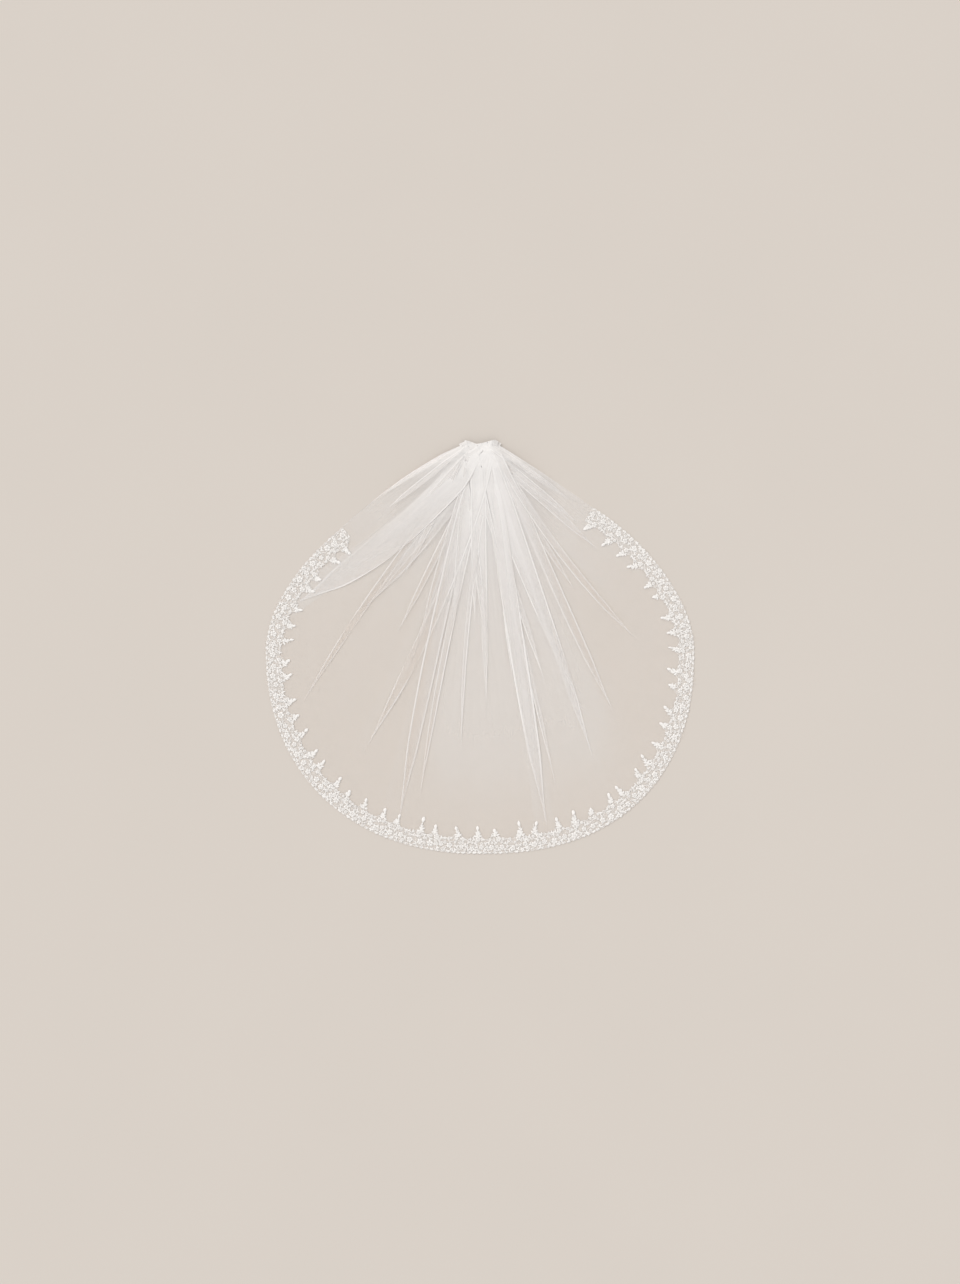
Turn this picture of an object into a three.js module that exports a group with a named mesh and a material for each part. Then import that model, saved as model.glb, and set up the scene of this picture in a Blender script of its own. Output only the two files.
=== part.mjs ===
// An elbow-length bridal veil laid flat on a table, right side up. Soft net is gathered onto a hair comb and
// fans out into pleats, and a lace edging with sprigs runs round its curved hem. Millimetres, +Z up.
// X runs across the veil, +Y points from the hem towards the comb, and Z = 0 is the table.
import * as THREE from 'three';

// Sizes of the veil as it lies
const combWidth = 74;            // across the gathered edge
const halfWidth = 397;           // middle to either side at the widest place
const combToWaist = 374;         // comb down to the widest place
const waistToHem = 381;          // widest place down to the lowest point of the hem
const waistToShoulder = { left: 325, right: 333 };
const roundness = { leftBelow: 2.2, rightBelow: 2.35, above: 1.7 };
const laceStart = { left: 133.2, right: 414.5 };   // degrees round the outline where the lace begins and ends
const rawEdgeBulge = { left: 12, right: 2 };
const rawEdgeSpread = 7;         // pleats over which that bulge dies out

// Sizes of the cloth
const clothThickness = 1.2;
const seamGap = 0.3;
const laceThickness = 1;
const tulleInset = 2;            // the net is trimmed this far inside the lace's tips
const laceReach = 63;            // the longest sprig's tip, from the outer edge
const flatBelow = 50;            // pleats flatten out over this much more, above the sprigs
const foldEdge = 1.2;            // run of a pleat's crisp side
const widestShare = 0.42;        // a pleat takes at most this share of the room on each side of it
const gatherRidge = 2.2;         // height of the small ridges at the comb
const gatherDepth = 90;          // how far from the comb they reach
const topRows = 20;              // rows of points down the top side, closer together near the comb
const flatRows = 6;              // and down the flat part of the underside

// Sizes of the comb
const comb = { spine: 7, teeth: 21, toothLength: 31, toothRoot: 2, toothTip: 1.1, thickness: 2.2, aboveSeam: 3 };
const combPocket = { full: 46, ends: 72 };   // the net lies over the comb up to here, then comes down

// The pleats from left to right. hem: share of the hem's length where the pleat points. room: how much of the
// comb it takes, beside the others. reach: share of the way to the hem where it has faded. width: overlap at its
// widest. lift: height there. lean: the crisp side.
const pleats = [
  { hem: 0.018, room: 1.5, reach: 0.60, width: 12, lift: 1.6, lean: 1 },
  { hem: 0.062, room: 1.0, reach: 0.50, width: 12, lift: 1.4, lean: -1 },
  { hem: 0.112, room: 3.4, reach: 0.93, width: 48, lift: 3.4, lean: 1 },
  { hem: 0.152, room: 1.0, reach: 0.45, width: 12, lift: 1.4, lean: -1 },
  { hem: 0.187, room: 1.2, reach: 0.62, width: 12, lift: 1.6, lean: 1 },
  { hem: 0.238, room: 1.0, reach: 0.93, width: 13, lift: 2.2, lean: -1 },
  { hem: 0.272, room: 1.0, reach: 0.42, width: 10, lift: 1.4, lean: 1 },
  { hem: 0.300, room: 1.0, reach: 0.56, width: 12, lift: 1.8, lean: -1 },
  { hem: 0.322, room: 1.3, reach: 0.86, width: 22, lift: 2.8, lean: 1 },
  { hem: 0.360, room: 1.0, reach: 0.50, width: 12, lift: 1.6, lean: -1 },
  { hem: 0.396, room: 1.5, reach: 0.98, width: 20, lift: 3.2, lean: -1 },
  { hem: 0.414, room: 1.0, reach: 0.92, width: 12, lift: 2.0, lean: 1 },
  { hem: 0.434, room: 1.0, reach: 0.48, width: 10, lift: 1.4, lean: -1 },
  { hem: 0.466, room: 1.0, reach: 0.78, width: 8, lift: 2.0, lean: 1 },
  { hem: 0.480, room: 1.0, reach: 0.45, width: 10, lift: 1.5, lean: -1 },
  { hem: 0.495, room: 1.0, reach: 0.66, width: 12, lift: 2.2, lean: -1 },
  { hem: 0.512, room: 1.0, reach: 0.50, width: 12, lift: 1.6, lean: 1 },
  { hem: 0.530, room: 1.0, reach: 0.60, width: 12, lift: 1.8, lean: -1 },
  { hem: 0.553, room: 1.8, reach: 0.98, width: 30, lift: 3.6, lean: 1 },
  { hem: 0.572, room: 1.0, reach: 0.90, width: 10, lift: 1.8, lean: -1 },
  { hem: 0.596, room: 1.0, reach: 0.64, width: 12, lift: 1.8, lean: -1 },
  { hem: 0.622, room: 1.4, reach: 0.86, width: 18, lift: 2.8, lean: 1 },
  { hem: 0.642, room: 1.0, reach: 0.76, width: 10, lift: 1.6, lean: -1 },
  { hem: 0.672, room: 1.2, reach: 0.80, width: 18, lift: 2.6, lean: 1 },
  { hem: 0.725, room: 1.0, reach: 0.50, width: 12, lift: 1.5, lean: -1 },
  { hem: 0.780, room: 1.0, reach: 0.80, width: 14, lift: 2.2, lean: -1 },
  { hem: 0.828, room: 1.2, reach: 0.56, width: 14, lift: 2.0, lean: -1 },
  { hem: 0.860, room: 1.0, reach: 0.48, width: 12, lift: 1.5, lean: 1 },
  { hem: 0.925, room: 1.2, reach: 0.50, width: 14, lift: 1.8, lean: 1 },
  { hem: 0.982, room: 1.5, reach: 0.45, width: 10, lift: 1.4, lean: -1 },
];

// Height of the gathered layers above one layer, by distance from the comb
const heap = [
  { from: -12, height: 5 },
  { from: 0, height: 7 },
  { from: 18, height: 13 },
  { from: 42, height: 13 },
  { from: 80, height: 9 },
  { from: 120, height: 6 },
  { from: 180, height: 3.5 },
  { from: 260, height: 2 },
  { from: 380, height: 1 },
  { from: 600, height: 0.3 },
  { from: 760, height: 0 },
];

// The small ruffle that stands above the comb: how far it shows past the seam, by place along the comb
const heading = [
  { at: -1, shows: 2 },
  { at: -0.7, shows: 9 },
  { at: -0.42, shows: 7 },
  { at: -0.2, shows: 2 },
  { at: 0.1, shows: 4 },
  { at: 0.45, shows: 8 },
  { at: 0.72, shows: 11 },
  { at: 1, shows: 4 },
];

// The lace: a repeat's sizes and its gaps. along and across are the gap's middle in shares of the repeat and of
// the band, size its half extents and turn its angle in degrees.
const laceRepeats = 47;
const laceBand = 37;
const scallops = { perRepeat: 4, depth: 2 };
const sprigs = { base: 8, shortest: 8, tallest: 24, shift: 6, atSides: 0.5 };
const gapSides = 5;
const laceGaps = [
  { along: 0.20, across: 0.27, half: [3.0, 2.3], turn: 30 },
  { along: 0.70, across: 0.30, half: [2.4, 3.1], turn: -15 },
  { along: 0.32, across: 0.68, half: [3.2, 2.3], turn: 70 },
  { along: 0.82, across: 0.70, half: [2.8, 2.4], turn: 10 },
];

// Colours, warm white net and lace and a clear-looking comb
const netMaterial = new THREE.MeshStandardMaterial({ color: 0xf2eeea, roughness: 0.85, metalness: 0 });
const laceMaterial = new THREE.MeshStandardMaterial({ color: 0xf4f0ea, roughness: 0.75, metalness: 0 });
const combMaterial = new THREE.MeshStandardMaterial({ color: 0xd9d4cc, roughness: 0.35, metalness: 0 });

const clamp01 = (x) => Math.min(1, Math.max(0, x));
const smooth = (x) => clamp01(x) ** 2 * (3 - 2 * clamp01(x));

// A value read from a table of rows, straight between them
function fromTable(rows, key, value, x) {
  const next = rows.findIndex((row) => row[key] > x);
  if (next === 0) return rows[0][value];
  if (next < 0) return rows[rows.length - 1][value];
  const [low, high] = [rows[next - 1], rows[next]];
  const share = (x - low[key]) / (high[key] - low[key]);
  return low[value] + (high[value] - low[value]) * share;
}

// The hem's outline: four quarters of a rounded oval about the widest place, by angle
function outlinePoint(degrees) {
  const angle = THREE.MathUtils.degToRad(degrees);
  const [c, s] = [Math.cos(angle), Math.sin(angle)];
  const side = c < 0 ? 'left' : 'right';
  const power = s >= 0 ? roundness.above : roundness[`${side}Below`];
  const height = s >= 0 ? waistToShoulder[side] : waistToHem;
  const x = halfWidth * Math.sign(c) * Math.abs(c) ** (2 / power);
  const y = height * Math.sign(s) * Math.abs(s) ** (2 / power) - combToWaist;
  return new THREE.Vector2(x, y);
}

// The same outline by its own length, with the inward direction at each place
const hem = (() => {
  const steps = 2000;
  const points = [];
  const lengths = [0];
  for (let i = 0; i <= steps; i += 1) {
    points.push(outlinePoint(laceStart.left + ((laceStart.right - laceStart.left) * i) / steps));
    if (i > 0) lengths.push(lengths[i - 1] + points[i].distanceTo(points[i - 1]));
  }
  return { points, lengths, length: lengths[steps] };
})();

function hemPlace(share, inward) {
  const wanted = clamp01(share) * hem.length;
  let i = hem.lengths.findIndex((length) => length >= wanted);
  i = Math.max(1, i);
  const part = (wanted - hem.lengths[i - 1]) / (hem.lengths[i] - hem.lengths[i - 1]);
  const place = hem.points[i - 1].clone().lerp(hem.points[i], part);
  const along = hem.points[i].clone().sub(hem.points[i - 1]).normalize();
  return place.add(new THREE.Vector2(-along.y, along.x).multiplyScalar(inward));
}

function distanceToHem(point) {
  let nearest = Infinity;
  for (let i = 0; i < hem.points.length; i += 20) {
    nearest = Math.min(nearest, point.distanceTo(hem.points[i]));
  }
  return nearest;
}

// Places on the fan. tau counts pleats: 0 is the left raw edge, 1 the first pleat and so on. v runs from the
// comb to the hem. Each fan line is straight, and the outer ones bulge like the raw edges.
const fanEnd = pleats.length + 1;
const fanHem = [0, ...pleats.map((pleat) => pleat.hem), 1];
const fanComb = (() => {
  const edges = [0];
  pleats.forEach((pleat) => edges.push(edges[edges.length - 1] + pleat.room));
  const all = edges[edges.length - 1];
  const middles = pleats.map((pleat, i) => (edges[i] + edges[i + 1]) / 2 / all - 0.5);
  return [-0.5, ...middles, 0.5];
})();

function fanLine(tau) {
  const low = Math.min(Math.floor(tau), fanEnd - 1);
  const between = (column) => column[low] + (column[low + 1] - column[low]) * (tau - low);
  const top = new THREE.Vector2(between(fanComb) * combWidth, 0);
  return { top, foot: hemPlace(between(fanHem), tulleInset) };
}

function fanPlace(tau, v) {
  const { top, foot } = fanLine(tau);
  const line = foot.clone().sub(top);
  const outward = new THREE.Vector2(-line.y, line.x).normalize();
  const leftBulge = -rawEdgeBulge.left * clamp01(1 - tau / rawEdgeSpread) ** 2;
  const rightBulge = rawEdgeBulge.right * clamp01(1 - (fanEnd - tau) / rawEdgeSpread) ** 2;
  const bulge = (leftBulge + rightBulge) * 4 * v * (1 - v);
  return top.add(line.multiplyScalar(v)).add(outward.multiplyScalar(bulge));
}

const fanLength = (tau) => {
  const { top, foot } = fanLine(tau);
  return top.distanceTo(foot);
};

// How strongly a pleat stands at v: full from the gathers on, fading out at its reach
const pleatFade = (pleat, v) => 1 - smooth((v - 0.55 * pleat.reach) / (0.45 * pleat.reach));

function pleatHalfWidth(index, v) {
  const pleat = pleats[index - 1];
  const room = fanPlace(index, v).distanceTo(fanPlace(index + 1, v));
  const room2 = fanPlace(index, v).distanceTo(fanPlace(index - 1, v));
  const wanted = (pleat.width / 2) * smooth(v / 0.25 + 0.3);
  return Math.min(wanted / Math.min(room, room2), widestShare);
}

// Height of the net's top side over the table at a place, less the pleats
function heapHeight(tau, v, place) {
  const fromComb = v * fanLength(tau);
  const sides = 0.25 + 0.75 * smooth(Math.min(tau, fanEnd - tau) / 3);
  const clearOfLace = smooth((distanceToHem(place) - laceReach) / flatBelow);
  const height = fromTable(heap, 'from', 'height', fromComb) * sides;
  return { height: height * clearOfLace, clearOfLace, fromComb };
}

// Height of the net's underside: on the table, and over the comb near the gathers
function undersideHeight(fromComb) {
  const overComb = comb.thickness + seamGap;
  return overComb * clamp01((combPocket.ends - fromComb) / (combPocket.ends - combPocket.full));
}

// One row across the top of the net at v: four columns a pleat, for its soft foot, its crest, its crisp foot
// and the flat stretch beyond
function topRow(v) {
  const row = [];
  const put = (tau, ridge, pleat) => {
    const place = fanPlace(tau, v);
    const { height, clearOfLace, fromComb } = heapHeight(tau, v, place);
    const gathers = gatherRidge * clamp01(1 - fromComb / gatherDepth);
    const lift = pleat ? Math.max(pleat.lift * pleatFade(pleat, v) * smooth(v / 0.2 + 0.2), gathers) : 0;
    const z = undersideHeight(fromComb) + clothThickness + height + ridge * lift * clearOfLace;
    row.push(new THREE.Vector3(place.x, place.y, z));
  };
  put(0, 0);
  pleats.forEach((pleat, i) => {
    const index = i + 1;
    const half = pleatHalfWidth(index, v);
    const spacing = fanPlace(index, v).distanceTo(fanPlace(index + 1, v));
    const crisp = Math.min(foldEdge / spacing, half * 0.7);
    put(index - half, 0, pleat);
    put(pleat.lean > 0 ? index + half - crisp : index - half + crisp, 1, pleat);
    put(index + half, 0, pleat);
    put(index + 0.5, 0);
  });
  put(fanEnd, 0);
  return row;
}

// The ruffle's row above the seam: the first row, moved up by the heading's table
function headingRow(seamRow) {
  return seamRow.map((point) => {
    const at = (point.x / combWidth) * 2;
    const shows = fromTable(heading, 'at', 'shows', at);
    const z = point.z - 3 + 1.6 * Math.cos(at * 9);
    return new THREE.Vector3(point.x * 1.06, point.y + shows, z);
  });
}

// Collects triangles and turns them into a mesh's geometry
class Skin {
  constructor() {
    this.positions = [];
  }

  triangle(a, b, c) {
    this.positions.push(...a.toArray(), ...b.toArray(), ...c.toArray());
  }

  // Fills between two lines of points, which may have different counts, with b on the left of a's direction
  strip(a, b) {
    let [i, j] = [0, 0];
    while (i < a.length - 1 || j < b.length - 1) {
      const stepA = i < a.length - 1 && (j === b.length - 1 || (i + 1) / (a.length - 1) <= (j + 1) / (b.length - 1));
      if (stepA) this.triangle(a[i], a[i + 1], b[j]);
      else this.triangle(a[i], b[j + 1], b[j]);
      if (stepA) i += 1;
      else j += 1;
    }
  }

  geometry() {
    const made = new THREE.BufferGeometry();
    made.setAttribute('position', new THREE.Float32BufferAttribute(this.positions, 3));
    made.computeVertexNormals();
    return made;
  }
}

// The net: a pleated top side, a flat underside that rises over the comb, and the edges between them
function tulleGeometry() {
  const top = [];
  for (let k = 0; k <= topRows; k += 1) top.push(topRow((k / topRows) ** 1.35));
  top.unshift(headingRow(top[0]));

  const under = (point, z) => new THREE.Vector3(point.x, point.y, z);
  const overComb = comb.thickness + seamGap;
  const hemRow = top[top.length - 1];
  const plainRow = (height, shareAt) => {
    const row = [];
    for (let tau = 0; tau <= fanEnd; tau += 1) {
      const place = fanPlace(tau, shareAt(fanLength(tau)));
      row.push(new THREE.Vector3(place.x, place.y, height));
    }
    return row;
  };
  const pocketShare = (length) => combPocket.ends / length;
  const bottom = [
    top[0].map((point) => under(point, overComb)),
    plainRow(overComb, () => 0),
    plainRow(overComb, (length) => combPocket.full / length),
  ];
  for (let k = 0; k < flatRows; k += 1) {
    bottom.push(plainRow(0, (length) => pocketShare(length) + (1 - pocketShare(length)) * (k / flatRows)));
  }
  bottom.push(hemRow.map((point) => under(point, 0)));

  const skin = new Skin();
  for (let k = 0; k < top.length - 1; k += 1) skin.strip(top[k + 1], top[k]);
  for (let k = 0; k < bottom.length - 1; k += 1) skin.strip(bottom[k], bottom[k + 1]);
  skin.strip(top[0], bottom[0]);
  skin.strip(bottom[bottom.length - 1], hemRow);
  const firsts = (rows) => rows.map((row) => row[0]);
  const lasts = (rows) => rows.map((row) => row[row.length - 1]);
  skin.strip(firsts(bottom), firsts(top));
  skin.strip(lasts(top), lasts(bottom));
  return skin.geometry();
}

// How far each sprig stands aside from the middle of its repeat
const sprigShift = (repeat) => sprigs.shift * Math.sin(repeat * 3.7 + 0.5);

// How tall each sprig stands above the band: uneven, from a slow and a quick wave, and lower up the sides
const sprigHeight = (repeat) => {
  const wave = 0.5 + 0.3 * Math.sin(repeat * 2.4) + 0.2 * Math.sin(repeat * 5.3 + 1);
  const fromMiddle = (repeat + 0.5) / laceRepeats - 0.5;
  const share = sprigs.atSides + (1 - sprigs.atSides) * Math.exp(-((fromMiddle / 0.2) ** 2));
  return sprigs.shortest + (sprigs.tallest - sprigs.shortest) * clamp01(wave) * share;
};

// The lace's outer edge, its inner edge with a leafy sprig in each repeat, and its cut gaps, in the plane
function laceOutline() {
  const pitch = hem.length / laceRepeats;
  const place = (along, inward) => hemPlace(along / hem.length, inward);
  const outer = [];
  const waves = laceRepeats * scallops.perRepeat;
  for (let i = 0; i <= waves * 2; i += 1) {
    const inward = i % 2 === 0 ? scallops.depth : 0;
    outer.push(place((i / (waves * 2)) * hem.length, inward));
  }
  const inner = [];
  for (let i = 0; i < laceRepeats; i += 1) {
    const middle = (i + 0.5) * pitch + sprigShift(i);
    const tall = sprigHeight(i);
    const tip = laceBand + tall;
    const leaf = sprigs.base * 0.75;
    inner.push(place(i * pitch + 2, laceBand - 4));
    inner.push(place(middle - sprigs.base, laceBand));
    inner.push(place(middle - leaf, laceBand + tall * 0.45));
    inner.push(place(middle - 2, laceBand + tall * 0.55));
    inner.push(place(middle + 0.8, tip));
    inner.push(place(middle + 2.4, laceBand + tall * 0.62));
    inner.push(place(middle + leaf, laceBand + tall * 0.5));
    inner.push(place(middle + sprigs.base, laceBand));
  }
  inner.push(place(hem.length - 2, laceBand - 4));
  return [...outer, ...inner.reverse()];
}

function laceGapOutlines() {
  const pitch = hem.length / laceRepeats;
  const outlines = [];
  for (let repeat = 0; repeat < laceRepeats; repeat += 1) {
    laceGaps.forEach(({ along, across, half, turn }, kind) => {
      const middle = (repeat + along + 0.04 * Math.sin(repeat * 3.1 + kind * 2)) * pitch;
      const inward = laceBand * (across + 0.04 * Math.sin(repeat * 4.7 + kind));
      const outline = [];
      for (let corner = 0; corner < gapSides; corner += 1) {
        const angle = THREE.MathUtils.degToRad(turn + 25 * Math.sin(repeat * 1.7) + (corner * 360) / gapSides);
        const [x, y] = [Math.cos(angle) * half[0], Math.sin(angle) * half[1]];
        outline.push(hemPlace((middle + x) / hem.length, inward + y));
      }
      outlines.push(outline);
    });
  }
  return outlines;
}

// The lace lies on the net's flat rim, a seam's gap above it
function laceGeometry() {
  const shape = new THREE.Shape(laceOutline());
  laceGapOutlines().forEach((outline) => shape.holes.push(new THREE.Path(outline)));
  const made = new THREE.ExtrudeGeometry(shape, { depth: laceThickness, bevelEnabled: false });
  return made.translate(0, 0, clothThickness + seamGap);
}

// The comb: a straight spine with tapered teeth, flat on the table with its teeth towards the hem
function combGeometry() {
  const shape = new THREE.Shape();
  const half = combWidth / 2 - 1;
  const spineFoot = comb.aboveSeam - comb.spine;
  const pitch = (2 * half - comb.toothRoot) / (comb.teeth - 1);
  shape.moveTo(-half, comb.aboveSeam - 1.5);
  shape.lineTo(-half, spineFoot);
  for (let i = 0; i < comb.teeth; i += 1) {
    const x = -half + comb.toothRoot / 2 + i * pitch;
    if (i > 0) shape.lineTo(x - comb.toothRoot / 2, spineFoot);
    shape.lineTo(x - comb.toothTip / 2, spineFoot - comb.toothLength);
    shape.lineTo(x + comb.toothTip / 2, spineFoot - comb.toothLength);
    if (i < comb.teeth - 1) shape.lineTo(x + comb.toothRoot / 2, spineFoot);
  }
  shape.lineTo(half, spineFoot);
  shape.lineTo(half, comb.aboveSeam - 1.5);
  shape.lineTo(half - 1.5, comb.aboveSeam);
  shape.lineTo(-half + 1.5, comb.aboveSeam);
  return new THREE.ExtrudeGeometry(shape, { depth: comb.thickness, bevelEnabled: false });
}

function namedMesh(name, geometry, material) {
  const mesh = new THREE.Mesh(geometry, material);
  mesh.name = name;
  return mesh;
}

const veil = new THREE.Group();
veil.add(namedMesh('tulle', tulleGeometry(), netMaterial));
veil.add(namedMesh('lace_edging', laceGeometry(), laceMaterial));
veil.add(namedMesh('comb', combGeometry(), combMaterial));

// The middle of the veil's outline stands over the origin
const middle = new THREE.Box3().setFromObject(veil).getCenter(new THREE.Vector3());
veil.position.set(-middle.x, -middle.y, 0);

export default veil;
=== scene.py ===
"""An elbow-length bridal veil laid flat: pleated net on a hair comb, with sprigged lace round its hem.

Sizes and colours are properties, each group of pieces has its operator, and main() runs them in order.
Lengths are metres. The veil's own origin is the middle of its gathered edge, at table height, with +X across
the veil and +Y pointing away from the hem.
"""

from types import SimpleNamespace

import bpy
import numpy as np
from bpy.props import FloatProperty, FloatVectorProperty, IntProperty, PointerProperty
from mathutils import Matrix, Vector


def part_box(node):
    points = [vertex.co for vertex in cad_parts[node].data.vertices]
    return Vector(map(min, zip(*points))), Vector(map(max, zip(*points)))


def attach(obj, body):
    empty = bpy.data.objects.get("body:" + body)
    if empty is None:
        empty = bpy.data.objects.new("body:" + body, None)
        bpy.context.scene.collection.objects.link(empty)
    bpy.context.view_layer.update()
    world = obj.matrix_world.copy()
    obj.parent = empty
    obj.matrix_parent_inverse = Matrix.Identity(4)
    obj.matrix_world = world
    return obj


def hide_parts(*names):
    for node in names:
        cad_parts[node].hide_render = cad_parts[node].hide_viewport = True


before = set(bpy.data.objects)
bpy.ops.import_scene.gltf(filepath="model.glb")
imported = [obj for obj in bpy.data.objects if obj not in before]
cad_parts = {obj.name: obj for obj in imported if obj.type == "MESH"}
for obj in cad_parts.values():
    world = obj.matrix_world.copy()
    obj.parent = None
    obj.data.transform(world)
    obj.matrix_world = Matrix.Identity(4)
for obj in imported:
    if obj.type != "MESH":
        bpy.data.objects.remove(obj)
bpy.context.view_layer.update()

bl_info = {
    "name": "Bridal veil",
    "version": (1, 0, 0),
    "blender": (4, 5, 0),
    "location": "3D View > Sidebar > Veil",
    "description": "A gathered net veil with a sprigged lace edging, laid flat",
    "category": "Add Mesh",
}

MM = 0.001
COMB_LOW, COMB_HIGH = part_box("comb")
SPINE_ABOVE_SEAM = 3 * MM
ORIGIN = np.array([(COMB_LOW.x + COMB_HIGH.x) / 2, COMB_HIGH.y - SPINE_ABOVE_SEAM, 0.0])
COMB_THICKNESS = COMB_HIGH.z - COMB_LOW.z


def table(columns, rows):
    """A short table as named columns, each an array."""
    return SimpleNamespace(**dict(zip(columns.split(), np.array(rows, float).T)))


# The pleats from left to right, in mm. hem: share of the hem where it points. at: where it leaves the comb,
# from the middle. bow: how far its line bows to the right of its way down. reach: share of the way down by
# which it has faded. width: its overlap. lift: its height. lean: the side that lies on top.
PLEATS = table(
    "hem at bow reach width lift lean",
    [
        (0.018, -34, -10, 0.60, 8, 1.6, 1), (0.062, -24, 4, 0.50, 10, 1.4, -1),
        (0.112, 6, 28, 0.93, 50, 3.4, 1), (0.152, -12, 14, 0.45, 12, 1.4, -1),
        (0.187, 28, 30, 0.62, 12, 1.6, 1), (0.238, 14, -16, 0.93, 13, 2.2, -1),
        (0.272, -20, 6, 0.42, 10, 1.4, 1), (0.300, 18, 4, 0.56, 12, 1.8, -1),
        (0.322, 28, 26, 0.86, 22, 2.8, 1), (0.360, -8, 0, 0.50, 12, 1.6, -1),
        (0.396, 2, -8, 0.98, 27, 3.2, -1), (0.414, 24, -12, 0.92, 12, 2.0, 1),
        (0.434, -26, 4, 0.48, 10, 1.4, -1), (0.466, 28, -26, 0.78, 8, 2.0, 1),
        (0.480, -14, 0, 0.45, 10, 1.5, -1), (0.495, 6, -6, 0.66, 12, 1.6, 1),
        (0.512, -30, 0, 0.50, 12, 1.6, 1), (0.530, 20, 0, 0.60, 12, 1.8, -1),
        (0.553, 14, -4, 0.98, 30, 3.6, 1), (0.572, -6, 0, 0.90, 10, 1.8, -1),
        (0.596, -30, 6, 0.64, 12, 1.8, -1), (0.622, 18, 0, 0.86, 18, 2.8, 1),
        (0.642, -20, -8, 0.76, 10, 1.6, -1), (0.672, 30, -8, 0.80, 18, 2.6, 1),
        (0.725, 4, -4, 0.50, 12, 1.5, -1), (0.780, 22, -28, 0.80, 14, 2.2, -1),
        (0.828, -2, 6, 0.56, 14, 2.0, -1), (0.860, 8, 0, 0.48, 12, 1.5, 1),
        (0.925, 24, 0, 0.50, 10, 1.8, 1), (0.982, 33, -6, 0.45, 8, 1.4, -1),
    ],
)

# The columns of cloth at a pleat's top fold: shares of the pleat's room, of its half overlap, of the run
# outside its folds and of the run inside them, then the level and how creased it is. The lower fold is this
# one turned round.
TOP_FOLD = np.array(
    [(0, 1, -1, 0, 2.0, 0.8), (0, 1, -0.3, 0, 2.0, 1), (0, 1, -0.1, 0, 1.85, 1)]
    + [(0, 1, 0, 0, 1.55, 1), (0, 1, 0, -0.1, 1.3, 1)]
)
LOWER_FOLD = TOP_FOLD[::-1] * (1, -1, -1, -1, -1, 1) + (0, 0, 0, 0, 2, 0)

# By distance from the comb in mm: the gathers' height, and how many of them a modelled layer stands for
HEAP = table(
    "far height gathers",
    [(-12, 5, 6.0), (0, 7, 10.0), (18, 13, 9.0), (42, 13, 7.5), (80, 9, 5.4), (120, 6, 3.8), (180, 3.5, 2.6)]
    + [(260, 2, 1.8), (380, 1, 1.35), (600, 0.3, 1.1), (760, 0, 1.0)],
)

# The ruffle above the comb: how far it shows past the seam in mm, by place along the comb
HEADING = table(
    "at shows",
    [(-1, 2), (-0.7, 9), (-0.42, 7), (-0.2, 2), (0.1, 4), (0.45, 8), (0.72, 11), (1, 4)],
)

# The large blossoms in a repeat of the lace, in shares of it along and in mm in from the edge
BLOSSOMS = table("along across radius", [(0.23, 12.0, 5.6), (0.52, 26.5, 4.8), (0.77, 14.5, 5.0)])

# A sprig's leaves from its foot to its tip. up: share of its height. length: share of the longest. turn: its
# lean from the stem, in degrees.
SPRIG_LEAVES = table(
    "up length turn",
    [
        (-0.28, 1.05, 72), (-0.28, 1.05, -74),
        (-0.10, 1.10, 50), (-0.08, 1.05, -53),
        (0.08, 0.95, 36), (0.11, 0.90, -38),
        (0.24, 0.70, 26), (0.28, 0.66, -28),
    ],
)

# The outline and the net's grid
LACE_RUN = (133.2, 414.5)  # the lace's two ends round the oval, in degrees
ROUNDNESS = {"left_below": 2.2, "right_below": 2.35, "above": 1.7}  # 2 is an ellipse
HEM_POINTS, HEM_STRIDE = 4001, 25  # points along the hem, and the step between those measured to
ROWS, ROW_POWER, RUFFLE_ROWS = 128, 1.25, 7  # rows down, closer at the comb, and above the seam
EDGE_STEPS = np.array([0.0, 0.02, 0.06, 0.25])  # columns in from a raw edge, as shares of a pleat
EDGE_CREASE = np.array([0.25, 0.25, 0.0, 0.0])

# How the net lies
NET_INSET = 2 * MM  # from the hem's line
SPRIG_REACH, RISES_OVER = 63 * MM, 50 * MM  # flat so far in from the hem, and rising over the next
POCKET_FULL, POCKET_ENDS = 46 * MM, 72 * MM  # over the comb to the first, off it from the second
COMB_CLEARANCE = 0.3 * MM
GATHERS_END, GATHER_HEIGHT, DRIFT_HEIGHT = 110 * MM, 0.3 * MM, 0.35 * MM
RELIEF = 0.22  # share of a pleat's tabled height that stands
PLY, PLY_SHIFT = 0.12 * MM, 0.045 * MM  # height of a level, and what keeps neighbours' plies apart

# How many layers of net show
INSIDE = -0.4  # crease inside a pleat, where fewer gathers lie
FOLD_LAYERS, WEDGE_LAYERS = 4.0, 1.2  # added by a fold, and to each in the fan's middle
THREAD_SHARE = 0.27  # share of the net that is thread
THREAD_LEVEL, THREAD_EDGE = -0.95, 2.2  # the waves' sum at a thread's rim, and how sharp the rim is

# The lace
REPEATS, SCALLOPS = 47, 4  # round the hem, and to a repeat
SPRIG_SHIFT, STEM_SHIFT = 6 * MM, 0.8 * MM
LACE_BASE = 1.05 * MM  # where the raised motifs stand
GROUND_BELOW, PETALS_ABOVE, KNOTS_ABOVE = 0.15 * MM, 0.15 * MM, 0.5 * MM
INNER_CORD = 2.2 * MM  # in from the band's side to its cord and the ground's end
MOTIF_ROWS, MOTIF_PITCH = 5, 6.3 * MM
BLOSSOMS_TO, SPRAYS_TO = 0.36, 0.82  # by its random number a motif is a blossom, a spray or a curl
SEED = 7

# The photograph: metres to a pixel, its height and the gathers' row in pixels
PIXEL, PHOTO_HEIGHT, SEAM_ROW = 1.85 * MM, 1284, 446
FLOOR_HALF, FLOOR_BELOW = 6.0, 0.15 * MM


def a_length(name, description, default):
    """A property that is a length."""
    return FloatProperty(name=name, description=description, default=default, unit="LENGTH")


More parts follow.
